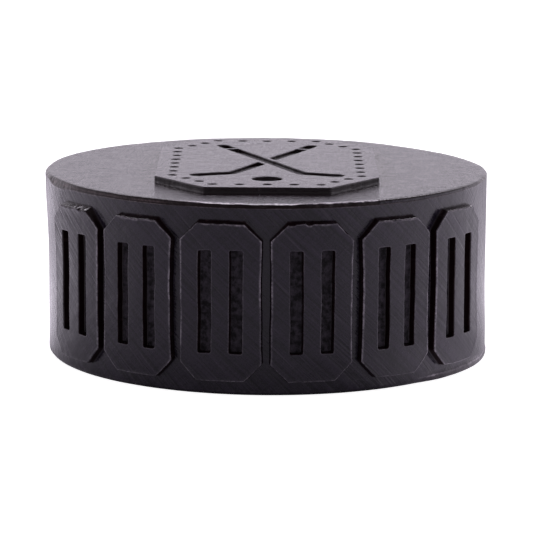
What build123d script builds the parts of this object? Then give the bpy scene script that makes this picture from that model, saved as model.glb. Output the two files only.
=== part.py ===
from build123d import *
import os
from math import atan2, degrees, radians, sin

# A thick ice hockey puck. It stands on its flat underside with its axis along +Z, and the
# front faces -Y. Two groups of raised grip pads stand out of the side wall, one group on the
# front and one on the back, and a raised badge lies on the top face. Millimetres.

# --- driving dimensions ---------------------------------------------------------------------
INCH = 25.4

PUCK_DIAMETER = 3 * INCH
PUCK_HEIGHT = 1.25 * INCH
TOP_EDGE_CHAMFER = 0.6
BOTTOM_EDGE_CHAMFER = 0.5

PADS_PER_GROUP = 6
PAD_ANGLE = 20.2            # share of the side wall that one pad covers, in degrees
PAD_PITCH_ANGLE = 22.1      # from one pad's middle to the next, in degrees
PAD_RELIEF = 1.3            # how far a pad stands out of the side wall
PAD_BOTTOM = 2.5            # height of a pad's lower edge above the underside
PAD_TOP = 28.8
PAD_CORNER_CUT = 3.0
PAD_CORNER_RADIUS = 0.4
PAD_SLOT_WIDTH = 2.2
PAD_SLOT_HEIGHT = 17.0
PAD_SLOT_SPACING = 5.2      # between the middles of a pad's two slots
PAD_SLOT_RADIUS = 0.3

BADGE_WIDTH = 38.0          # along X
BADGE_LENGTH = 56.0         # along Y
BADGE_RELIEF = 1.2
BADGE_CORNER_CUT_X = 8.5
BADGE_CORNER_CUT_Y = 11.5
BADGE_CORNER_RADIUS = 1.0
BADGE_ENGRAVING_DEPTH = 0.7

# Two crossed hockey sticks and a disc are sunk into the badge, inside a border of round dimples.
STICK_BUTT = (-8.0, 19.0)
STICK_HEEL = (6.0, -13.0)
STICK_TOE = (11.6, -15.0)
STICK_SHAFT_WIDTH = 2.2
STICK_BLADE_WIDTH = 3.0
STICK_CROSSING_GAP = 0.7    # plain land on each side of the upper stick, where the lower one stops
STICK_GRIP_LENGTH = 4.0     # from the butt to the rib under the grip
STICK_RIB_WIDTH = 0.7
DISC_CENTRE = (0.0, -19.0)
DISC_RADIUS = 2.6
BORDER_MARGIN = 3.0         # from the badge's edge to the middle of a dimple
DIMPLE_RADIUS = 0.8
DIMPLE_SPACING = 4.6        # about this far apart: one dimple is kept for each of the border's corners

# --- worked-out dimensions ------------------------------------------------------------------
PUCK_RADIUS = PUCK_DIAMETER / 2
PAD_OUTER_RADIUS = PUCK_RADIUS + PAD_RELIEF
PAD_WIDTH = 2 * PAD_OUTER_RADIUS * sin(radians(PAD_ANGLE / 2))
PAD_HEIGHT = PAD_TOP - PAD_BOTTOM


def cut_corner_rectangle(width, height, cut_x, cut_y):
    """An upright rectangle round the origin with its four corners cut off."""
    half_x = width / 2
    half_y = height / 2
    corners = [
        (half_x - cut_x, -half_y),
        (half_x, -half_y + cut_y),
        (half_x, half_y - cut_y),
        (half_x - cut_x, half_y),
        (-half_x + cut_x, half_y),
        (-half_x, half_y - cut_y),
        (-half_x, -half_y + cut_y),
        (-half_x + cut_x, -half_y),
    ]
    return Polygon(*corners, align=None)


def round_bar(start, end, width):
    """A flat bar with round ends, from the middle of one end's circle to the other's."""
    run = Vector(*end) - Vector(*start)
    middle = (Vector(*start) + Vector(*end)) * 0.5
    turn = degrees(atan2(run.Y, run.X))
    return Pos(middle.X, middle.Y) * Rot(0, 0, turn) * SlotCenterToCenter(run.length, width)


def point_along(start, end, distance):
    """The point at a distance from start on the way to end."""
    return Vector(*start) + (Vector(*end) - Vector(*start)).normalized() * distance


# --- puck body ------------------------------------------------------------------------------
def make_puck_body():
    """The solid disc, with a small bevel round its upper and its lower edge."""
    half_section = Polygon(
        (0, 0),
        (PUCK_RADIUS - BOTTOM_EDGE_CHAMFER, 0),
        (PUCK_RADIUS, BOTTOM_EDGE_CHAMFER),
        (PUCK_RADIUS, PUCK_HEIGHT - TOP_EDGE_CHAMFER),
        (PUCK_RADIUS - TOP_EDGE_CHAMFER, PUCK_HEIGHT),
        (0, PUCK_HEIGHT),
        align=None,
    )
    return revolve(Plane.XZ * half_section, Axis.Z)


# --- side pads ------------------------------------------------------------------------------
def make_front_pad():
    """One grip pad at the very front: a tall slab with cut corners and two upright slots."""
    slab = cut_corner_rectangle(PAD_WIDTH, PAD_HEIGHT, PAD_CORNER_CUT, PAD_CORNER_CUT)
    slab = fillet(slab.vertices(), PAD_CORNER_RADIUS)
    slot = RectangleRounded(PAD_SLOT_WIDTH, PAD_SLOT_HEIGHT, PAD_SLOT_RADIUS)
    for side in (-1, 1):
        slab -= Pos(side * PAD_SLOT_SPACING / 2, 0) * slot
    middle_height = (PAD_BOTTOM + PAD_TOP) / 2
    blank = extrude(Plane.XZ * Pos(0, middle_height) * slab, amount=2 * PUCK_RADIUS)
    skin = Pos(0, 0, PUCK_HEIGHT / 2) * (
        Cylinder(PAD_OUTER_RADIUS, PUCK_HEIGHT) - Cylinder(PUCK_RADIUS, PUCK_HEIGHT)
    )
    return blank & skin


def pad_angles():
    """Each pad's turn from the middle of its group, in degrees, from the group's left to its right."""
    first = -PAD_PITCH_ANGLE * (PADS_PER_GROUP - 1) / 2
    return [first + PAD_PITCH_ANGLE * number for number in range(PADS_PER_GROUP)]


# --- top badge ------------------------------------------------------------------------------
def badge_outline():
    """The badge's outline before its points are rounded."""
    return cut_corner_rectangle(BADGE_WIDTH, BADGE_LENGTH, BADGE_CORNER_CUT_X, BADGE_CORNER_CUT_Y)


def dimple_points():
    """The middles of the border's dimples: one at each corner, and the others evenly between them."""
    border = offset(badge_outline(), -BORDER_MARGIN, kind=Kind.INTERSECTION)
    points = []
    for side in border.wire().order_edges():
        steps = round(side.length / DIMPLE_SPACING)
        points += [side @ (step / steps) for step in range(steps)]
    return points


def make_stick():
    """The outline of one stick, with its blade to the right, and the rib under its grip left out."""
    shaft = round_bar(STICK_BUTT, STICK_HEEL, STICK_SHAFT_WIDTH)
    blade = round_bar(STICK_HEEL, STICK_TOE, STICK_BLADE_WIDTH)
    rib_start = point_along(STICK_BUTT, STICK_HEEL, STICK_GRIP_LENGTH)
    run = Vector(*STICK_HEEL) - Vector(*STICK_BUTT)
    turn = degrees(atan2(run.Y, run.X))
    rib = (
        Pos(rib_start.X, rib_start.Y)
        * Rot(0, 0, turn)
        * Rectangle(STICK_RIB_WIDTH, 2 * STICK_SHAFT_WIDTH)
    )
    return shaft + blade - rib


def make_top_badge():
    """The raised badge, with two crossed sticks, a disc and a border of dimples sunk into its face."""
    outline = badge_outline()
    plate = extrude(fillet(outline.vertices(), BADGE_CORNER_RADIUS), amount=BADGE_RELIEF)
    upper_stick = make_stick()
    crossing_land = round_bar(STICK_BUTT, STICK_HEEL, STICK_SHAFT_WIDTH + 2 * STICK_CROSSING_GAP)
    lower_stick = mirror(make_stick(), about=Plane.YZ) - crossing_land
    disc = Pos(*DISC_CENTRE) * Circle(DISC_RADIUS)
    dimples = [Pos(point.X, point.Y) * Circle(DIMPLE_RADIUS) for point in dimple_points()]
    floor = Plane.XY.offset(BADGE_RELIEF - BADGE_ENGRAVING_DEPTH)
    for engraving in (upper_stick, lower_stick, disc, *dimples):
        plate -= extrude(floor * engraving, amount=2 * BADGE_ENGRAVING_DEPTH)
    return Pos(0, 0, PUCK_HEIGHT) * plate


# --- writing --------------------------------------------------------------------------------
def main():
    os.makedirs("parts", exist_ok=True)
    export_step(make_puck_body(), "parts/puck_body.step")
    export_step(make_top_badge(), "parts/top_badge.step")
    pad = make_front_pad()
    for group, group_turn in (("front", 0), ("back", 180)):
        for number, angle in enumerate(pad_angles(), start=1):
            placed = Rot(0, 0, group_turn + angle) * pad
            export_step(placed, f"parts/side_pad_{group}_{number}.step")


main()
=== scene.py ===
import math

import bpy
import numpy as np
from mathutils import Matrix, Vector
from mathutils.geometry import delaunay_2d_cdt


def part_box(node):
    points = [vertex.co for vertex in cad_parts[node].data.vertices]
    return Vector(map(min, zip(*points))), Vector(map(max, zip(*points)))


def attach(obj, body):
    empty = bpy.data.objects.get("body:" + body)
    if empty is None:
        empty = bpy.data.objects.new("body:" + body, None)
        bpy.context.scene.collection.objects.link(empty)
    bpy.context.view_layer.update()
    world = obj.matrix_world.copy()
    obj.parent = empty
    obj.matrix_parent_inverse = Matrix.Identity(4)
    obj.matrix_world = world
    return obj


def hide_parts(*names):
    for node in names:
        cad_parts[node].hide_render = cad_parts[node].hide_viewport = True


# The looks of a thick black hockey puck that stands on its underside and faces -Y.
# Shapes are worked out in millimetres and written to their meshes in metres.
MM = 0.001

# --- the frame ------------------------------------------------------------------------------
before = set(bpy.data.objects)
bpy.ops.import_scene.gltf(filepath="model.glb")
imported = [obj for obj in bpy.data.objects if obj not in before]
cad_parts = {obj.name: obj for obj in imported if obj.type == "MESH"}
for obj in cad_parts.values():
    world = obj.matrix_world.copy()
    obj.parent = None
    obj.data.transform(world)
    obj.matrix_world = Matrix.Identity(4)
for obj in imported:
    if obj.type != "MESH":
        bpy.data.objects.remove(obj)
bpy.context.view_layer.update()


def box_mm(node):
    low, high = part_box(node)
    return np.array(low) / MM, np.array(high) / MM


body_low, body_high = box_mm("puck_body")
badge_low, badge_high = box_mm("top_badge")
pad_low, pad_high = box_mm("side_pad_front_3")

BODY_RADIUS = body_high[0]
BODY_HEIGHT = body_high[2]
PAD_BOTTOM = pad_low[2]
PAD_TOP = pad_high[2]
BADGE_TOP = badge_high[2]
BADGE_WIDTH = badge_high[0] - badge_low[0]
BADGE_LENGTH = badge_high[1] - badge_low[1]

# --- sizes that the boxes don't give, as in the CAD -----------------------------------------
PAD_RELIEF = 1.3
PAD_ANGLE = 20.2
PAD_PITCH = 22.1
PADS_PER_GROUP = 6
PAD_CORNER_CUT = 3.0
PAD_SLOT_WIDTH = 2.2
PAD_SLOT_HEIGHT = 17.0
PAD_SLOT_SPACING = 5.2
BADGE_CUT = (8.5, 11.5)
STICK_BUTT = np.array((-8.0, 19.0))
STICK_HEEL = np.array((6.0, -13.0))
STICK_TOE = np.array((11.6, -15.0))
SHAFT_HALF = 1.1
BLADE_HALF = 1.5
CROSSING_HALF = 1.8
RIB_START = 3.65
RIB_END = 4.35
DISC_CENTRE = np.array((0.0, -19.0))
DISC_RADIUS = 2.6
DIMPLE_MARGIN = 3.0
DIMPLE_RADIUS = 0.8
DIMPLE_SPACING = 4.6


# --- noise ----------------------------------------------------------------------------------
LATTICE = np.random.default_rng(7).uniform(-1, 1, (64, 64, 64))


def wander(points, scale, seed=0):
    """Smooth random values from -1 to 1 at the points, which change over about scale millimetres."""
    place = np.asarray(points, float) / scale + 17.31 * seed + 100.0
    cell = np.floor(place).astype(int)
    t = place - cell
    t = t * t * (3 - 2 * t)
    total = np.zeros(len(place))
    for corner in range(8):
        step = np.array([(corner >> axis) & 1 for axis in range(3)])
        weight = np.prod(np.where(step, t, 1 - t), axis=1)
        i, j, k = ((cell + step) % 64).T
        total += weight * LATTICE[i, j, k]
    return total


def along(points_2d, scale, seed):
    """wander() for points on a flat drawing."""
    return wander(np.column_stack((points_2d, np.zeros(len(points_2d)))), scale, seed)


def rise(value, low, high):
    """0 up to low, 1 from high on, and a smooth climb between them. low may be above high."""
    t = np.clip((np.asarray(value, float) - low) / (high - low), 0, 1)
    return t * t * (3 - 2 * t)


# --- outlines -------------------------------------------------------------------------------
def unit(v):
    return v / np.linalg.norm(v)


def meet(p, d, q, e):
    """Where the line through p along d crosses the line through q along e."""
    a = np.array(((d[0], -e[0]), (d[1], -e[1])))
    return p + np.linalg.solve(a, q - p)[0] * d


def area(points):
    x, y = np.asarray(points).T
    return 0.5 * np.sum(x * np.roll(y, -1) - y * np.roll(x, -1))


class Outline:
    """A closed polygon with rounded corners, which can be sampled at any offset with the same points."""

    def __init__(self, corners, radii, spacing=0.25):
        corners = np.array(corners, float)
        radii = np.broadcast_to(radii, len(corners)).astype(float)
        if area(corners) < 0:
            corners = corners[::-1]
            radii = radii[::-1]
        self.corners = corners
        self.radii = radii
        self.side_counts = None
        self.spacing = spacing
        self.sample(0.0)

    def sample(self, offset):
        """Points round the outline, moved outwards by offset millimetres."""
        corners = self.corners
        count = len(corners)
        sides = [unit(corners[(i + 1) % count] - corners[i]) for i in range(count)]
        normals = [np.array((s[1], -s[0])) for s in sides]
        arcs = []
        for i in range(count):
            before, after = sides[i - 1], sides[i]
            turn = math.atan2(before[0] * after[1] - before[1] * after[0], before @ after)
            n0, n1 = normals[i - 1], normals[i]
            tip = meet(corners[i] + n0 * offset, before, corners[i] + n1 * offset, after)
            grown = self.radii[i] + (offset if turn > 0 else -offset)
            radius = max(grown, 0.03)
            reach = radius * abs(math.tan(turn / 2))
            start = tip - before * reach
            side = 1 if turn > 0 else -1
            centre = start - n0 * radius * side
            first = math.atan2(*(n0 * side)[::-1])
            steps = max(3, int(abs(turn) * max(self.radii[i], 0.25) / self.spacing) + 2)
            angles = first + turn * np.linspace(0, 1, steps)
            arcs.append(centre + radius * np.column_stack((np.cos(angles), np.sin(angles))))
        if self.side_counts is None:
            self.side_counts = [
                max(1, round(np.linalg.norm(arcs[(i + 1) % count][0] - arcs[i][-1]) / self.spacing))
                for i in range(count)
            ]
        points = []
        for i in range(count):
            points.append(arcs[i])
            n = self.side_counts[i]
            start, end = arcs[i][-1], arcs[(i + 1) % count][0]
            share = (np.arange(1, n) / n)[:, None]
            points.append(start + share * (end - start))
        return np.vstack(points)


class Round:
    """A circle, sampled like an Outline."""

    def __init__(self, centre, radius, spacing=0.25):
        self.centre = np.array(centre)
        self.radius = radius
        self.count = max(20, round(2 * math.pi * radius / spacing))

    def sample(self, offset):
        angles = np.linspace(0, 2 * math.pi, self.count, endpoint=False)
        ring = np.column_stack((np.cos(angles), np.sin(angles)))
        return self.centre + (self.radius + offset) * ring


def cut_corner_rectangle(width, height, cut_x, cut_y):
    x, y = width / 2, height / 2
    return [
        (x - cut_x, -y), (x, -y + cut_y), (x, y - cut_y), (x - cut_x, y),
        (-x + cut_x, y), (-x, y - cut_y), (-x, -y + cut_y), (-x + cut_x, -y),
    ]


BADGE_CORNERS = cut_corner_rectangle(BADGE_WIDTH, BADGE_LENGTH, *BADGE_CUT)


def rectangle(centre_x, width, height):
    x0, x1, y = centre_x - width / 2, centre_x + width / 2, height / 2
    return [(x0, -y), (x1, -y), (x1, y), (x0, y)]


def stick_outlines(crossed):
    """The sunk pieces of one stick, butt to toe. A crossed stick also stops each side of the other."""
    run = unit(STICK_HEEL - STICK_BUTT)
    left = np.array((-run[1], run[0]))
    blade = unit(STICK_TOE - STICK_HEEL)
    up = np.array((-blade[1], blade[0]))
    edges = [(STICK_BUTT + side * SHAFT_HALF * left, run) for side in (1, -1)]

    def cut_across(distance):
        return STICK_BUTT + distance * run, left

    def piece(start, end, start_radius, end_radius):
        ends = [meet(*edge, *cut) for cut in (start, end) for edge in edges]
        corners = [ends[0], ends[2], ends[3], ends[1]]
        return Outline(corners, [start_radius, end_radius, end_radius, start_radius], 0.2)

    def shaft_and_blade(start):
        top, bottom = (meet(*edge, *start) for edge in edges)
        upper, lower = ((STICK_HEEL + side * BLADE_HALF * up, blade) for side in (1, -1))
        far = STICK_TOE + BLADE_HALF * blade
        corners = [
            top, meet(*edges[0], *upper), meet(*upper, far, up),
            meet(*lower, far, up), meet(*edges[1], *lower), bottom,
        ]
        return Outline(corners, [0.2, 0.6, 1.45, 1.45, 1.4, 0.2], 0.2)

    pieces = [piece(cut_across(-SHAFT_HALF), cut_across(RIB_START), 1.05, 0.2)]
    if not crossed:
        return pieces + [shaft_and_blade(cut_across(RIB_END))]
    other = np.array((-run[0], run[1]))
    across = np.array((-other[1], other[0]))
    middle = meet(STICK_BUTT, run, np.array((-STICK_BUTT[0], STICK_BUTT[1])), other)
    stops = [(middle + side * CROSSING_HALF * across, other) for side in (1, -1)]
    stops.sort(key=lambda stop: meet(STICK_BUTT, run, *stop) @ run)
    pieces.append(piece(cut_across(RIB_END), stops[0], 0.2, 0.2))
    pieces.append(shaft_and_blade(stops[1]))
    for outline in pieces:
        outline.corners = outline.corners[::-1] * (-1, 1)
        outline.radii = outline.radii[::-1]
        outline.side_counts = None
        outline.sample(0.0)
    return pieces


# --- flat drawings to solids ----------------------------------------------------------------
def inside(points, loop):
    """True for each point inside the closed loop."""
    x, y = points[:, 0][:, None], points[:, 1][:, None]
    x0, y0 = loop.T
    x1, y1 = np.roll(loop, -1, axis=0).T
    crosses = (y0 > y) != (y1 > y)
    where = x0 + (y - y0) * (x1 - x0) / np.where(y1 == y0, 1e-9, y1 - y0)
    return (crosses & (x < where)).sum(axis=1) % 2 == 1


def distance_to(points, loops):
    """Each point's distance to the nearest point of the loops."""
    edge = np.vstack(loops)
    nearest = np.empty(len(points))
    for start in range(0, len(points), 500):
        gap = points[start:start + 500, None, :] - edge[None]
        nearest[start:start + 500] = np.sqrt((gap**2).sum(axis=2).min(axis=1))
    return nearest


def fill(loops, spacing):
    """Triangles over the area inside the first loop and outside the others: points and faces.

    The loops' own points come first, in order.
    """
    outer = loops[0]
    low, high = outer.min(axis=0), outer.max(axis=0)
    rows = np.arange(low[1], high[1], spacing * 0.87)
    grid = []
    for i, y in enumerate(rows):
        row = np.arange(low[0] + (i % 2) * spacing / 2, high[0], spacing)
        grid.append(np.column_stack((row, np.full(len(row), y))))
    grid = np.vstack(grid)
    keep = inside(grid, outer)
    for hole in loops[1:]:
        keep &= ~inside(grid, hole)
    grid = grid[keep]
    grid = grid[distance_to(grid, loops) > 0.45 * spacing]
    edge_points = np.vstack(loops)
    points = np.vstack((edge_points, grid))
    edges = []
    start = 0
    for loop in loops:
        n = len(loop)
        edges += [(start + i, start + (i + 1) % n) for i in range(n)]
        start += n
    out, _, faces, source, _, _ = delaunay_2d_cdt(
        [Vector(p) for p in points], edges, [], 1, 1e-7
    )
    back = np.array([s[0] if s else -1 for s in source])
    faces = np.array([back[list(f)] for f in faces])
    middle = points[faces].mean(axis=1)
    keep = inside(middle, outer)
    for hole in loops[1:]:
        keep &= ~inside(middle, hole)
    return points, faces[keep]


class Builder:
    """Collects points and faces for one mesh.

    Each point has a brownness value, from 0 to 1, which tints it dark brownish red and partly paints
    shade, and a paleness value, partly from rubbing and partly painted highlight, which goes above 1 on
    the palest crests.
    """

    def __init__(self):
        self.points = []
        self.wear_and_highlight = []
        self.brown_and_shade = []
        self.faces = []
        self.slots = []
        self.count = 0

    def add(self, points, wear_and_highlight=0.0, brown_and_shade=0.0):
        """Adds points and returns their numbers."""
        first = self.count
        self.points.append(points)
        self.wear_and_highlight.append(np.broadcast_to(wear_and_highlight, len(points)).astype(float))
        self.brown_and_shade.append(np.broadcast_to(brown_and_shade, len(points)).astype(float))
        self.count += len(points)
        return np.arange(first, self.count)

    def bridge(self, ring, following, slot=0, flip=False):
        """Four-sided faces between two closed rings with the same number of points."""
        a, b = np.roll(ring, -1), np.roll(following, -1)
        quads = np.column_stack((ring, a, b, following))
        self.cover(quads[:, ::-1] if flip else quads, slot)

    def cover(self, faces, slot=0):
        self.faces += faces.tolist()
        self.slots += [slot] * len(faces)

    def object(self, name, materials):
        mesh = bpy.data.meshes.new(name)
        points = np.vstack(self.points) * MM
        mesh.from_pydata(points.tolist(), [], self.faces)
        mesh.polygons.foreach_set("material_index", self.slots)
        mesh.polygons.foreach_set("use_smooth", [True] * len(self.faces))
        for label, values in (("wear_and_highlight", self.wear_and_highlight), ("brown_and_shade", self.brown_and_shade)):
            mesh.attributes.new(label, "FLOAT", "POINT").data.foreach_set("value", np.hstack(values))
        for material in materials:
            mesh.materials.append(material)
        mesh.update()
        piece = bpy.data.objects.new(name, mesh)
        bpy.context.scene.collection.objects.link(piece)
        return piece


def relief_solid(builder, outline, hollows, edge, hollow_edge, place, face_spacing, scuff_and_highlight=None):
    """A closed raised plate over a flat drawing, with hollows sunk into its face.

    edge and hollow_edge list the (outward offset, height from the face, paleness from rubbing and painted
    highlight, brownness and painted shade) of each ring, from the face outwards. place(points, height)
    puts flat points into space, and the optional last argument, called with (points, height), adds
    paleness from rubbing and painted highlight to the outer rings.
    """
    rings = [outline.sample(edge[0][0])] + [hollow.sample(-hollow_edge[0][0]) for hollow in hollows]
    flat, faces = fill(rings, face_spacing)
    numbers = builder.add(place(flat, np.zeros(len(flat))))
    builder.cover(numbers[faces])
    start = 0
    for which, loop in enumerate([outline, *hollows]):
        is_hollow = which > 0
        steps = hollow_edge if is_hollow else edge
        last = numbers[start:start + len(rings[which])]
        start += len(rings[which])
        for offset, height, wear_and_highlight, brown_and_shade in steps[1:]:
            ring = loop.sample(-offset if is_hollow else offset)
            if scuff_and_highlight and not is_hollow:
                wear_and_highlight = wear_and_highlight + scuff_and_highlight(ring, height)
            new = builder.add(place(ring, np.full(len(ring), height)), wear_and_highlight, brown_and_shade)
            builder.bridge(last, new, flip=not is_hollow)
            last = new
        inner, closing = fill([ring], face_spacing)
        more = inner[len(ring):]
        lookup = np.concatenate((last, builder.add(place(more, np.full(len(more), steps[-1][1])))))
        closing = lookup[closing]
        builder.cover(closing if is_hollow else closing[:, ::-1], slot=1 if is_hollow else 0)


# --- materials ------------------------------------------------------------------------------
DARK_RUBBER = (0.0008, 0.0003, 0.002, 1)
LIGHT_RUBBER = (0.023, 0.0165, 0.031, 1)
RUBBED_RUBBER = (0.5, 0.465, 0.505, 1)
# Dark brownish red of walls and bevels, also painted as shade round the badge's foot.
DARK_BROWN_AND_SHADE = (0.007, 0.001, 0.0016, 1)
# Pale colours of rubbed edges and scratches, also used as painted highlights on edges, crests and ridges.
WORN_AND_HIGHLIGHT_RUBBER = (0.30, 0.27, 0.305, 1)
WORN_AND_HIGHLIGHT_CUT = (0.26, 0.19, 0.195, 1)
DARK_HOLLOW = (0.003, 0.0018, 0.003, 1)
LIGHT_HOLLOW = (0.052, 0.043, 0.056, 1)


class Nodes:
    """A short way to write a node tree."""

    def __init__(self, tree):
        self.tree = tree
        tree.nodes.clear()

    def __call__(self, kind, inputs=None, **settings):
        node = self.tree.nodes.new(kind)
        for key, value in settings.items():
            setattr(node, key, value)
        for key, value in (inputs or {}).items():
            if isinstance(value, bpy.types.NodeSocket):
                self.tree.links.new(value, node.inputs[key])
            else:
                node.inputs[key].default_value = value
        return node

    def math(self, operation, *values):
        return self("ShaderNodeMath", dict(enumerate(values)), operation=operation).outputs[0]

    def noise(self, vector, scale=1.0, detail=2.0, rough=0.5):
        inputs = {"Vector": vector, "Scale": scale, "Detail": detail, "Roughness": rough}
        return self("ShaderNodeTexNoise", inputs).outputs["Fac"]

    def ramp(self, value, low, high, out_low=0.0, out_high=1.0):
        inputs = {0: value, 1: low, 2: high, 3: out_low, 4: out_high}
        return self("ShaderNodeMapRange", inputs).outputs[0]

    def mix(self, factor, low, high):
        """A colour between two others."""
        return self("ShaderNodeMix", {"Factor": factor, 6: low, 7: high}, data_type="RGBA").outputs[2]

    def millimetres(self):
        """The place on the object, in millimetres."""
        position = self("ShaderNodeTexCoord").outputs["Object"]
        scale = (1000, 1000, 1000)
        return self("ShaderNodeVectorMath", {0: position, 1: scale}, operation="MULTIPLY").outputs[0]

    def rubber_surface(self, base, rough, height, depth, ior):
        """A glossy surface with a bump as deep as depth metres, wired to the material's output."""
        bump = self("ShaderNodeBump", {"Height": height, "Strength": 1.0, "Distance": depth}).outputs[0]
        shader = self(
            "ShaderNodeBsdfPrincipled",
            {"Base Color": base, "Roughness": rough, "Normal": bump, "IOR": ior},
        )
        self("ShaderNodeOutputMaterial", {"Surface": shader.outputs[0]})

    def lines(self, u, v, angle, across, lengthwise, detail=2.0):
        """Noise drawn out into lines. across and lengthwise are its changes per millimetre."""
        flat = self("ShaderNodeCombineXYZ", {0: u, 1: v}).outputs[0]
        turned = self(
            "ShaderNodeVectorRotate",
            {"Vector": flat, "Angle": math.radians(angle)},
            rotation_type="Z_AXIS",
        ).outputs[0]
        stretched = self(
            "ShaderNodeVectorMath", {0: turned, 1: (across, lengthwise, 1.0)}, operation="MULTIPLY"
        ).outputs[0]
        return self.noise(stretched, 1.0, detail)


def new_material(name):
    material = bpy.data.materials.new(name)
    material.use_nodes = True
    return material, Nodes(material.node_tree)


def rubber(name, line_sets, on_wall=False, haze=0.0, depth=0.00005):
    """Black moulded rubber, marked all over by the tools that its mould was cut with.

    line_sets list the (angle, changes per mm across, changes per mm lengthwise, share in the
    relief, share in the tone) of each set of fine lines. haze is the paleness of a rubbed face.
    """
    material, n = new_material(name)
    millimetres = n.millimetres()
    u, v, z = n("ShaderNodeSeparateXYZ", {0: millimetres}).outputs
    if on_wall:
        turn = n.math("ARCTAN2", u, n.math("MULTIPLY", v, -1.0))
        u, v = n.math("MULTIPLY", turn, float(BODY_RADIUS)), z
    height, tone = 0.0, 0.0
    for angle, across, lengthwise, in_relief, in_tone in line_sets:
        line = n.lines(u, v, angle, across, lengthwise)
        height = n.math("ADD", height, n.math("MULTIPLY", line, in_relief))
        tone = n.math("ADD", tone, n.math("MULTIPLY", line, in_tone))
    patches = n.noise(millimetres, 0.12, 3.0, 0.6)
    mottle = n.noise(millimetres, 0.45, 4.0, 0.6)
    grain = n.noise(millimetres, 4.0, 3.0)
    scratch = n.ramp(n.lines(u, v, line_sets[0][0] + 4, 1.3, 0.025, 1.0), 0.60, 0.66)
    scratch = n.math("MULTIPLY", scratch, n.ramp(patches, 0.40, 0.58))
    height = n.math("SUBTRACT", height, n.math("MULTIPLY", scratch, 0.5))
    height = n.math("ADD", height, n.math("MULTIPLY", grain, 0.2))
    height = n.math("ADD", height, n.math("MULTIPLY", mottle, 1.8 if on_wall else 0.5))

    tone = n.math("ADD", n.math("MULTIPLY", tone, 0.75), n.math("MULTIPLY", grain, 0.25))
    tone = n.ramp(tone, 0.43, 0.57)
    shade = n.math("ADD", n.math("MULTIPLY", tone, 0.75), n.math("MULTIPLY", mottle, 0.25))
    base = n.mix(shade, DARK_RUBBER, LIGHT_RUBBER)
    rubbed = n.math("MULTIPLY", n.ramp(patches, 0.35, 0.65, 0.5, 1.0), haze)
    rubbed = n.math("MULTIPLY", rubbed, n.math("ADD", n.math("MULTIPLY", tone, 0.45), 0.48))
    base = n.mix(rubbed, base, RUBBED_RUBBER)
    # Tinted dark brownish red on walls and bevels, and darkened as painted shade round the badge's foot.
    brown_and_shade = n("ShaderNodeAttribute", attribute_name="brown_and_shade").outputs["Fac"]
    base = n.mix(brown_and_shade, base, DARK_BROWN_AND_SHADE)
    # Paled along edges, crests, chips and ridges: partly rubbing, partly painted highlight.
    wear_and_highlight = n("ShaderNodeAttribute", attribute_name="wear_and_highlight").outputs["Fac"]
    speck = n.ramp(n.noise(millimetres, 1.8, 3.0, 0.7), 0.40, 0.60, 0.3, 1.0)
    stretch = n.ramp(n.noise(millimetres, 0.22, 2.0), 0.38, 0.58, 0.3, 1.0)
    worn_and_highlight = n.math("MULTIPLY", wear_and_highlight, n.math("MULTIPLY", speck, stretch))
    marks_and_highlights = n.math("MAXIMUM", worn_and_highlight, n.math("MULTIPLY", scratch, 0.045))
    base = n.mix(marks_and_highlights, base, n.mix(brown_and_shade, WORN_AND_HIGHLIGHT_RUBBER, WORN_AND_HIGHLIGHT_CUT))
    rough = n.ramp(mottle, 0.3, 0.7, 0.15, 0.22)
    rough = n.math("ADD", rough, n.math("MULTIPLY", tone, 0.06))
    n.rubber_surface(base, rough, height, depth, ior=1.43)
    return material


def hollow_rubber():
    """The floor of a hollow, as it came from the mould: matt, blotched and darker than the rest."""
    material, n = new_material("moulded_rubber_hollow")
    millimetres = n.millimetres()
    blotch = n.noise(millimetres, 1.1, 5.0, 0.65)
    grain = n.noise(millimetres, 7.0, 3.0)
    height = n.math("ADD", blotch, n.math("MULTIPLY", grain, 0.3))
    base = n.mix(n.ramp(blotch, 0.40, 0.62), DARK_HOLLOW, LIGHT_HOLLOW)
    rough = n.ramp(blotch, 0.35, 0.65, 0.5, 0.36)
    n.rubber_surface(base, rough, height, depth=0.0003, ior=1.32)
    return material


wall_rubber = rubber(
    "moulded_rubber_wall",
    [
        (-47, 2.0, 0.035, 1.0, 0.42), (-45, 3.8, 0.06, 0.5, 0.25), (-49, 0.8, 0.02, 0.6, 0.18),
        (44, 2.4, 0.05, 0.4, 0.15),
    ],
    on_wall=True,
)
top_rubber = rubber(
    "moulded_rubber_top",
    [(2, 2.6, 0.2, 0.12, 0.5), (97, 3.2, 0.3, 0.9, 0.3), (92, 1.1, 0.15, 0.4, 0.2)],
    haze=0.11,
    depth=0.0001,
)
badge_rubber = rubber(
    "moulded_rubber_badge",
    [(3, 2.2, 0.2, 0.12, 0.5), (80, 2.8, 0.3, 0.9, 0.3), (89, 0.9, 0.15, 0.4, 0.2)],
    haze=0.245,
    depth=0.00009,
)
deep_rubber = hollow_rubber()


def flare(turn, z):
    """How far the wall stands out of its drawn radius, for points at a turn from the front in radians."""
    degrees = (np.degrees(turn) + 180) % 360 - 180
    left = rise(degrees, -35, -80) * rise(degrees, -150, -110)
    right = rise(degrees, 40, 72) * rise(degrees, 130, 100)
    return left * 0.5 * rise(z, 17, 31) + right * (0.17 + 0.25 * rise(z, 14, 2))


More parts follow.
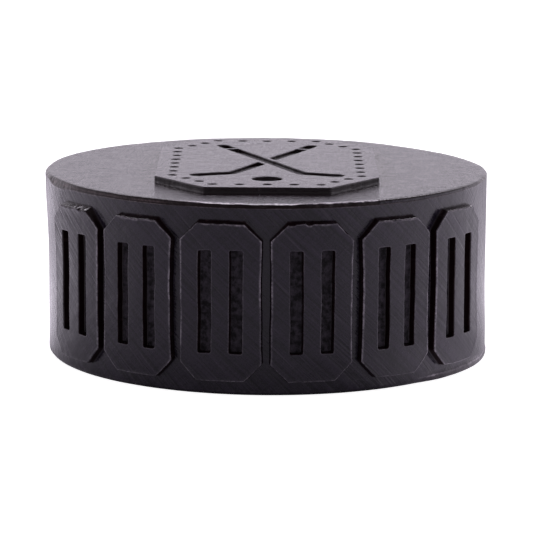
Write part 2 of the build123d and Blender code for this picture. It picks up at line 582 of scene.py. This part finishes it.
# --- puck body ------------------------------------------------------------------------------
# Sections of the two edges: (reach in from the wall, drop below the top face or height above the
# underside, paleness from rubbing and painted highlight, brownness and painted shade). The upper edge was
# trimmed: deepest at the front, where the blade left a crest over a dark bevel, the crest painted pale as
# a highlight, and more lightly at the sides. It is rounded at the back. The lower edge has a small bevel,
# and a flat band of flash along its right side and in patches at the back, its ridge painted pale as a
# highlight.
SOFT_RIM = [
    (0.0, 1.00, 0.0, 0.0), (0.0, 0.80, 0.0, 0.0), (0.0, 0.66, 0.0, 0.1), (-0.01, 0.54, 0.5, 0.5),
    (0.05, 0.44, 0.14, 1.0), (0.14, 0.33, 0.14, 1.0), (0.24, 0.22, 0.14, 1.0), (0.36, 0.12, 0.10, 1.0),
    (0.50, 0.04, 0.08, 0.3), (0.66, 0.01, 0.12, 0.0), (0.9, 0.0, 0.05, 0.0), (1.4, 0.0, 0.0, 0.0),
]
LEFT_RIM = [
    (0.0, 1.20, 0.0, 0.0), (0.0, 0.95, 0.0, 0.0), (0.0, 0.80, 0.0, 0.2), (-0.02, 0.70, 0.50, 0.6),
    (0.03, 0.63, 0.05, 1.0), (0.11, 0.52, 0.05, 1.0), (0.20, 0.39, 0.35, 1.0), (0.28, 0.27, 0.12, 1.0),
    (0.36, 0.15, 0.0, 1.0), (0.44, 0.02, 0.0, 1.0), (0.52, 0.0, 0.0, 0.6), (1.4, 0.0, 0.0, 0.0),
]
RIGHT_RIM = [
    (0.0, 1.20, 0.0, 0.0), (0.0, 0.95, 0.0, 0.0), (0.0, 0.80, 0.0, 0.2), (-0.02, 0.72, 0.40, 0.7),
    (0.02, 0.66, 0.10, 0.8), (0.04, 0.54, 0.0, 0.2), (0.05, 0.40, 0.0, 0.0), (0.07, 0.25, 0.0, 0.2),
    (0.12, 0.17, 0.0, 1.0), (0.22, 0.06, 0.0, 1.0), (0.32, 0.0, 0.0, 0.6), (1.4, 0.0, 0.0, 0.0),
]
TRIMMED_RIM = [
    (0.0, 1.00, 0.0, 0.0), (0.0, 0.86, 0.06, 0.1), (-0.03, 0.76, 0.40, 0.3), (0.02, 0.68, 0.08, 1.0),
    (0.09, 0.58, 0.0, 1.0), (0.16, 0.47, 0.0, 1.0), (0.22, 0.35, 0.0, 1.0), (0.27, 0.22, 0.0, 1.0),
    (0.31, 0.17, 0.8, 0.1), (0.40, 0.14, 1.6, 0.0), (0.80, 0.01, 1.6, 0.0), (1.4, 0.0, 0.0, 0.0),
]
BEVELLED_BASE = [
    (2.2, 0.0, 0.0, 0.0), (1.0, 0.0, 0.0, 0.0), (0.52, 0.02, 0.0, 0.0), (0.40, 0.09, 0.05, 0.0),
    (0.26, 0.22, 0.0, 0.0), (0.13, 0.37, 0.0, 0.0), (0.03, 0.53, 0.1, 0.0), (0.0, 0.70, 0.1, 0.0),
    (0.0, 0.85, 0.0, 0.0), (0.0, 1.1, 0.0, 0.0),
]
FLASH_BASE = [
    (2.2, 0.0, 0.0, 0.0), (1.0, 0.0, 0.0, 0.0), (0.05, 0.01, 0.0, 0.0), (-0.08, 0.05, 0.1, 0.0),
    (-0.12, 0.15, 0.0, 0.3), (-0.13, 0.35, 0.0, 0.5), (-0.14, 0.55, 0.0, 0.5), (-0.16, 0.76, 0.3, 0.2),
    (-0.17, 0.92, 1.7, 0.0), (-0.01, 1.05, 0.3, 0.0),
]


def make_body():
    """The solid disc: a wall that flares a little at its sides, between two uneven edges.

    The top face is painted darker round the foot of the badge: a painted shadow.
    """
    count = 1280
    turn = np.linspace(-math.pi, math.pi, count, endpoint=False)
    degrees = np.degrees(turn)
    out = np.column_stack((np.sin(turn), -np.cos(turn)))
    R, H = BODY_RADIUS, BODY_HEIGHT
    circle = np.column_stack((R * out, np.zeros(count)))
    trimmed = rise(degrees, -27, -17) * rise(degrees, 29.2, 28.4)
    ragged = trimmed * rise(degrees, -16, -8) + 0.5 * rise(degrees, 28.6, 29.2) * rise(degrees, 40, 34)
    gouge = rise(degrees, -75, -70) * rise(degrees, -57, -66)
    left = rise(degrees, -78, -71) * (degrees < 0)
    right = rise(degrees, 76, 60) * (degrees > 0)
    size = 1 + 0.12 * left + 0.5 * gouge - 0.25 * rise(degrees, 35, 60) * (degrees < 150)
    crest = np.maximum(
        rise(wander(circle, 4.0, 13), -0.4, 0.3) * rise(degrees, 25, 12),
        0.9 * rise(degrees, -19, -13) * rise(degrees, 9, 4),
    )
    behind = rise(np.abs(degrees), 125, 140)
    flash = rise(degrees, 40, 50) * rise(degrees, 112, 96)
    flash = np.maximum(flash, behind * rise(wander(circle, 21.0, 6), 0.1, 0.35))
    droop = 0.18 * rise(degrees, 90, 112) * rise(degrees, 155, 135)
    builder = Builder()

    def ring(inwards, z, wear_and_highlight=0.0, brown_and_shade=0.0, edge=0.0):
        """One ring of the section. edge is 1 on an uneven edge and 0 on the wall."""
        radius = R - inwards + flare(turn, z)
        points = np.column_stack((out * radius[:, None], np.broadcast_to(z, count)))
        wobble = edge * (0.04 * wander(points, 2.5, 1) + 0.03 * wander(points, 0.9, 2))
        wobble = wobble + 0.02 * wander(points, 9.0, 3)
        points[:, :2] += out * wobble[:, None]
        points[:, 2] += edge * 0.03 * wander(points, 2.0, 4)
        return builder.add(points, wear_and_highlight, brown_and_shade)

    rings = []
    for bevel, band in zip(BEVELLED_BASE, FLASH_BASE):
        reach, z, wear_and_highlight, brown_and_shade = (a + flash * (b - a) for a, b in zip(bevel, band))
        reach = np.where(z > 0.6, reach * (1 - 0.7 * rise(degrees, 66, 80)), reach)
        high = rise(z, 0.5, 0.9) * rise(z, 1.2, 0.95) * flash
        rings.append(ring(
            reach + 0.05 * high * wander(circle, 1.4, 12), z + 0.13 * high * wander(circle, 2.6, 7),
            wear_and_highlight, brown_and_shade, np.minimum(z / 0.1, 1.0),
        ))
    rings += [ring(np.zeros(count), z) for z in np.arange(2.0, H - 2.2, 1.0)]
    for corners in zip(SOFT_RIM, LEFT_RIM, RIGHT_RIM, TRIMMED_RIM):
        reach, drop, wear_and_highlight, brown_and_shade = (
            a + (1 - trimmed) * (left * (b - a) + right * (c - a)) + trimmed * (d - a)
            for a, b, c, d in zip(*corners)
        )
        edge = rise(drop, 0.95, 0.6) * rise(reach, 1.4, 0.8)
        jag = ragged * edge * rise(drop, 0.62, 0.4)
        scale = np.where(reach < 1.39, trimmed + (1 - trimmed) * size, 1.0)
        reach = reach * scale + jag * (0.14 * wander(circle, 1.6, 8) + 0.10 * wander(circle, 0.6, 9))
        drop = drop * scale + jag * 0.06 * wander(circle, 0.8, 10)
        flat_crest = trimmed * (1 - crest) * rise(reach, 0.28, 0.4)
        drop = drop * (1 - 0.85 * flat_crest) + droop * rise(reach, 1.3, 0.5)
        wear_and_highlight = wear_and_highlight + 0.25 * gouge * brown_and_shade
        rings.append(ring(reach, H - drop, wear_and_highlight, brown_and_shade, edge))
    for lower, upper in zip(rings, rings[1:]):
        builder.bridge(lower, upper)
    badge_foot = Outline(BADGE_CORNERS, 1.0).sample(0.0)
    for ends, reach, z, flip in (
        (rings[0], BEVELLED_BASE[0][0], 0.0, True), (rings[-1], SOFT_RIM[-1][0], H, False)
    ):
        loop = out * (R - reach)
        points, faces = fill([loop], 1.1)
        more = points[count:]
        # Painted shade: the top face darkens round the badge's foot.
        painted_shade = 0.85 * (z > 0) * rise(distance_to(more, [badge_foot]), 4.0, 0.5)
        new = builder.add(np.column_stack((more, np.full(len(more), z))), 0.0, painted_shade)
        numbers = np.concatenate((ends, new))
        faces = numbers[faces]
        builder.cover(faces[:, ::-1] if flip else faces, slot=1)
    return builder.object("moulded_body", [wall_rubber, top_rubber])


# --- side pads ------------------------------------------------------------------------------
PAD_RADIUS = BODY_RADIUS + PAD_RELIEF
PAD_WIDTH = PAD_RADIUS * math.radians(PAD_ANGLE)
PAD_MIDDLE = (PAD_BOTTOM + PAD_TOP) / 2
# The third column paints pale edge lines: partly rubbing, partly painted highlight.
PAD_EDGE = [
    (-0.40, 0.0, 0.0, 0.0), (-0.24, 0.015, 0.05, 0.0), (-0.16, 0.03, 0.3, 0.0), (-0.09, 0.02, 0.8, 0.0),
    (-0.03, -0.04, 0.5, 0.0), (0.01, -0.14, 0.0, 1.0), (0.03, -0.45, 0.0, 1.0), (0.05, -0.80, 0.0, 1.0),
    (0.07, -1.10, 0.0, 1.0), (0.12, -1.22, 0.0, 0.6), (0.20, -1.30, 0.0, 0.3), (0.30, -1.38, 0.0, 0.0),
]
SLOT_EDGE = [
    (-0.30, 0.0, 0.0, 0.0), (-0.20, 0.0, 0.05, 0.0), (-0.12, 0.0, 0.2, 0.0), (-0.06, -0.02, 0.35, 0.0),
    (0.0, -0.09, 0.0, 1.0), (0.02, -0.3, 0.0, 1.0), (0.04, -0.75, 0.0, 1.0), (0.07, -1.10, 0.0, 1.0),
    (0.14, -1.22, 0.0, 1.0),
]


def make_pad(name, angle, seed):
    """A raised slab with cut corners and two slots, as uneven along its edges as a hand-cut mould."""
    half_height = (PAD_TOP - PAD_BOTTOM) / 2
    outline = Outline(
        cut_corner_rectangle(PAD_WIDTH, 2 * half_height, PAD_CORNER_CUT, PAD_CORNER_CUT), 0.3, 0.2
    )
    slots = [
        Outline(rectangle(side * PAD_SLOT_SPACING / 2, PAD_SLOT_WIDTH, PAD_SLOT_HEIGHT), 0.25, 0.2)
        for side in (-1, 1)
    ]
    turn = math.radians(angle)
    waist = np.random.default_rng(seed).uniform(0.12, 0.42, 2)
    slope = 0.34 + 0.16 * math.cos(turn - math.radians(240))

    def place(flat, height):
        x, y = flat.T
        share = np.clip(1 + height / PAD_RELIEF, 0, 1)
        shift = 0.10 * np.column_stack((along(flat, 4.5, seed), along(flat, 4.5, seed + 40)))
        shift += 0.04 * np.column_stack((along(flat, 1.2, seed + 80), along(flat, 1.2, seed + 120)))
        shift[:, 0] -= np.where(x < 0, -waist[0], waist[1]) * (1 - (y / half_height) ** 2) * rise(
            np.abs(x), 4.2, PAD_WIDTH / 2
        )
        near_top = rise(y, half_height - PAD_CORNER_CUT - 0.6, half_height)
        notch = rise(along(flat, 1.5, seed + 240), 0.35, 0.7)
        uneven = 1 + 0.5 * along(flat, 2.5, seed + 280) + 0.25 * along(flat, 0.7, seed + 320)
        shift[:, 1] -= share * near_top * (slope * uneven + 0.22 * notch)
        x, y = (flat + shift).T
        lift = 0.04 * along(flat, 3.5, seed + 160) + 0.015 * along(flat, 1.1, seed + 200)
        lift += 0.10 * near_top * rise(y, half_height - 2.0, half_height - 0.5)
        theta = turn + x / PAD_RADIUS
        radius = PAD_RADIUS + height + lift * share + flare(theta, PAD_MIDDLE + y)
        return np.column_stack((radius * np.sin(theta), -radius * np.cos(theta), PAD_MIDDLE + y))

    def scuff_and_highlight(flat, height):
        """Pale chips along both edges of the sloping upper wall, and rubbed upright edges: partly rubbing
        and partly painted highlights and glints.
        """
        at_face = rise(height, -0.12, -0.03)
        at_foot = rise(height, -1.0, -1.15) * rise(height, -1.34, -1.24)
        nicks_and_glints = rise(along(flat, 1.1, seed + 360), -0.1, 0.5)
        upper = (0.4 * at_face + 0.2 * at_foot) * nicks_and_glints * rise(flat[:, 1], half_height - 1.2, half_height)
        return upper + 0.45 * at_face * rise(np.abs(flat[:, 0]), PAD_WIDTH / 2 - 0.7, PAD_WIDTH / 2 - 0.3)

    builder = Builder()
    relief_solid(builder, outline, slots, PAD_EDGE, SLOT_EDGE, place, 0.6, scuff_and_highlight)
    return builder.object(name, [wall_rubber, deep_rubber])


# --- top badge ------------------------------------------------------------------------------
BADGE_RELIEF = BADGE_TOP - BODY_HEIGHT
# The third column paints pale edge lines: partly rubbing, partly painted highlight.
BADGE_EDGE = [
    (-0.40, 0.0, 0.0, 0.0), (-0.22, 0.0, 0.05, 0.0), (-0.12, -0.005, 0.3, 0.0), (-0.05, -0.03, 0.5, 0.1),
    (0.0, -0.10, 0.0, 1.0), (0.0, -0.3, 0.0, 1.0), (0.0, -0.75, 0.0, 1.0), (0.02, -1.02, 0.0, 1.0),
    (0.06, -1.12, 0.0, 1.0), (0.13, -1.18, 0.08, 0.6), (0.25, -1.23, 0.0, 0.0),
]
POCKET_EDGE = [
    (-0.14, 0.0, 0.0, 0.0), (-0.07, -0.01, 0.2, 0.0), (-0.01, -0.06, 0.1, 0.5), (0.01, -0.2, 0.0, 1.0),
    (0.02, -0.5, 0.0, 1.0), (0.06, -0.65, 0.0, 1.0), (0.14, -0.7, 0.0, 1.0),
]


def dimples():
    corners = Outline(BADGE_CORNERS, 0.0)
    count = len(corners.corners)
    sides = [unit(corners.corners[(i + 1) % count] - corners.corners[i]) for i in range(count)]
    inward = [np.array((-s[1], s[0])) * DIMPLE_MARGIN for s in sides]
    inner = [
        meet(corners.corners[i] + inward[i - 1], sides[i - 1], corners.corners[i] + inward[i], sides[i])
        for i in range(count)
    ]
    found = []
    for i in range(count):
        start, end = inner[i], inner[(i + 1) % count]
        steps = round(np.linalg.norm(end - start) / DIMPLE_SPACING)
        found += [Round(start + (end - start) * step / steps, DIMPLE_RADIUS) for step in range(steps)]
    return found


def make_badge():
    outline = Outline(BADGE_CORNERS, 1.0)
    pockets = stick_outlines(False) + stick_outlines(True)
    pockets += [Round(DISC_CENTRE, DISC_RADIUS), *dimples()]

    def place(flat, height):
        shift = 0.10 * np.column_stack((along(flat, 4.0, 301), along(flat, 4.0, 302)))
        shift += 0.06 * np.column_stack((along(flat, 0.9, 303), along(flat, 0.9, 304)))
        foot = rise(height, -1.0, -1.15)
        shift += 0.06 * foot[:, None] * np.column_stack((along(flat, 0.6, 306), along(flat, 0.6, 307)))
        z = BADGE_TOP - 0.02 + height + 0.015 * along(flat, 5.0, 305)
        return np.column_stack((flat + shift, z))

    builder = Builder()
    relief_solid(builder, outline, pockets, BADGE_EDGE, POCKET_EDGE, place, 0.8)
    return builder.object("badge_plate", [badge_rubber, deep_rubber])


# --- pieces on the frame --------------------------------------------------------------------
def settle(piece, node):
    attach(piece, "root")
    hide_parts(node)


settle(make_body(), "puck_body")
settle(make_badge(), "top_badge")
first = -PAD_PITCH * (PADS_PER_GROUP - 1) / 2
for group, group_turn in (("front", 0), ("back", 180)):
    for number in range(PADS_PER_GROUP):
        node = f"side_pad_{group}_{number + 1}"
        angle = group_turn + first + PAD_PITCH * number
        pad = make_pad(f"grip_pad_{group}_{number + 1}", angle, number + (group_turn > 0) * 10)
        settle(pad, node)


# --- camera ---------------------------------------------------------------------------------
CAMERA_SENSOR = 36.0
CAMERA_LENS = 189.86
CAMERA_DISTANCE = 0.494         # metres from the point that it looks at
CAMERA_TARGET_HEIGHT = 14.3
CAMERA_ELEVATION = 10.79
CAMERA_ROLL = 0.39


def make_camera():
    camera = bpy.data.objects.new("camera", bpy.data.cameras.new("camera"))
    camera.data.sensor_width = CAMERA_SENSOR
    camera.data.lens = CAMERA_LENS
    camera.data.clip_start = 0.01
    camera.data.clip_end = 20.0
    tilt = math.radians(CAMERA_ELEVATION)
    target = Vector((0, 0, CAMERA_TARGET_HEIGHT * MM))
    back = Vector((0, -math.cos(tilt), math.sin(tilt)))
    camera.location = target + back * CAMERA_DISTANCE
    roll = Matrix.Rotation(math.radians(CAMERA_ROLL), 3, "Z")
    camera.rotation_euler = ((-back).to_track_quat("-Z", "Y").to_matrix() @ roll).to_euler()
    bpy.context.scene.collection.objects.link(camera)
    bpy.context.scene.camera = camera


make_camera()


# --- studio ---------------------------------------------------------------------------------
FLOOR_SIZE = 6.0                # metres
FLOOR_DROP = 0.02


def floor_strength(n, place, reach):
    """How bright each spot of the floor is to the puck. reach is its distance from the puck's axis.

    It is painted light: brightest at the sides, and dimmer in front and right behind, with a painted
    shadow of the puck close to it. The parts named card change single areas at the puck's left and right.
    """
    x, y, _ = n("ShaderNodeSeparateXYZ", {0: place}).outputs
    front = n.math("DIVIDE", n.math("MULTIPLY", y, -1.0), reach)
    right = n.math("DIVIDE", x, reach)
    level = n.ramp(front, 0.05, 0.95, 1.2, 0.66)
    level = n.math("MULTIPLY", level, n.ramp(right, -1.0, 1.0, 0.93, 1.07))
    level = n.math("MULTIPLY", level, n.ramp(front, -0.6, -0.9, 1.0, 0.55))
    level = n.math("MULTIPLY", level, n.ramp(right, 0.45, 0.8, 0.85, 1.12))
    far_left = n.math("MULTIPLY", n.ramp(right, -0.82, -0.97), n.ramp(reach, 0.06, 0.16, 0.2, 1.0))
    level = n.math("MULTIPLY", level, n.math("ADD", 1.0, n.math("MULTIPLY", far_left, 0.24)))
    close = n.ramp(reach, 0.10, 0.16, 1.0, 0.0)
    beyond = n.math("MULTIPLY", n.ramp(front, -0.55, -0.72), n.ramp(reach, 0.11, 0.15, 0.0, 1.8))
    beyond = n.math("MULTIPLY", beyond, n.ramp(reach, 0.20, 0.30, 1.0, 0.0))
    left_card = n.math("MULTIPLY", n.math("MAXIMUM", close, beyond), n.ramp(right, -0.3, -0.6))
    left_card = n.math("MULTIPLY", left_card, n.ramp(front, 0.2, -0.3))
    level = n.math("MULTIPLY", level, n.math("ADD", 1.0, n.math("MULTIPLY", left_card, 0.7)))
    right_card = n.math("MULTIPLY", n.ramp(right, 0.4, 0.65), n.ramp(reach, 0.05, 0.075, 1.0, 0.0))
    right_gain = n.math("SUBTRACT", n.ramp(front, 0.1, 0.55, 0.72, 2.0), 1.0)
    level = n.math("MULTIPLY", level, n.math("ADD", 1.0, n.math("MULTIPLY", right_card, right_gain)))
    # Painted shadow of the puck on the glowing floor, deepest close in front.
    contact_shadow = n.ramp(front, -0.3, 0.85, 0.7, 0.14)
    away = n.math("SQRT", n.ramp(reach, BODY_RADIUS * MM, (BODY_RADIUS + 55) * MM))
    shade = n.math("ADD", contact_shadow, n.math("MULTIPLY", away, n.math("SUBTRACT", 1.0, contact_shadow)))
    return n.math("MULTIPLY", level, shade)


def make_floor():
    """A white table, a hair below the puck. It can be seen through right under the puck and from below.

    The camera sees it as plain white. Only the puck sees its glow: painted light, with brighter and
    dimmer parts and a painted shadow close to the puck.
    """
    bpy.ops.mesh.primitive_plane_add(size=FLOOR_SIZE, location=(0, 0, -FLOOR_DROP * MM))
    floor = bpy.context.object
    floor.name = "studio_floor"
    material, n = new_material("studio_floor")
    place = n("ShaderNodeTexCoord").outputs["Object"]
    reach = n("ShaderNodeVectorMath", {0: place}, operation="LENGTH").outputs["Value"]
    strength = floor_strength(n, place, reach)
    glow = n("ShaderNodeEmission", {"Color": (1.0, 0.925, 1.06, 1), "Strength": strength}).outputs[0]
    paper = n("ShaderNodeBsdfDiffuse", {"Color": (0.8, 0.8, 0.8, 1)}).outputs[0]
    bright = n("ShaderNodeEmission", {"Color": (1, 1, 1, 1), "Strength": 0.92}).outputs[0]
    lit = n("ShaderNodeAddShader", {0: paper, 1: bright}).outputs[0]
    seen = n("ShaderNodeLightPath").outputs["Is Camera Ray"]
    mixed = n("ShaderNodeMixShader", {0: seen, 1: glow, 2: lit}).outputs[0]
    clear = n("ShaderNodeBsdfTransparent").outputs[0]
    below = n("ShaderNodeNewGeometry").outputs["Backfacing"]
    gone = n.math("MAXIMUM", below, n.ramp(reach, 0.036, 0.035))
    surface = n("ShaderNodeMixShader", {0: gone, 1: mixed, 2: clear})
    n("ShaderNodeOutputMaterial", {"Surface": surface.outputs[0]})
    floor.data.materials.append(material)


def make_world():
    """A pale room, darker overhead and towards the front, with a soft box up at the back."""
    world = bpy.data.worlds.new("studio")
    bpy.context.scene.world = world
    world.use_nodes = True
    n = Nodes(world.node_tree)
    direction = n("ShaderNodeTexCoord").outputs["Generated"]
    across, away, up = n("ShaderNodeSeparateXYZ", {0: direction}).outputs
    level = n.math("MULTIPLY", n.ramp(up, 0.12, 0.9, 1.0, 0.16), n.ramp(away, -0.9, 0.0, 0.3, 1.0))
    box = n.math("MULTIPLY", n.ramp(up, 0.57, 0.64), n.ramp(up, 0.86, 0.76))
    box = n.math("MULTIPLY", box, n.ramp(away, 0.3, 0.4))
    box = n.math("MULTIPLY", box, n.ramp(n.math("ABSOLUTE", across), 0.45, 0.30))
    level = n.math("ADD", level, n.math("MULTIPLY", box, 7.0))
    background = n("ShaderNodeBackground", {"Color": (1.0, 0.93, 1.04, 1), "Strength": level})
    n("ShaderNodeOutputWorld", {"Surface": background.outputs[0]})


make_floor()
make_world()
bpy.context.scene.view_settings.view_transform = "Standard"
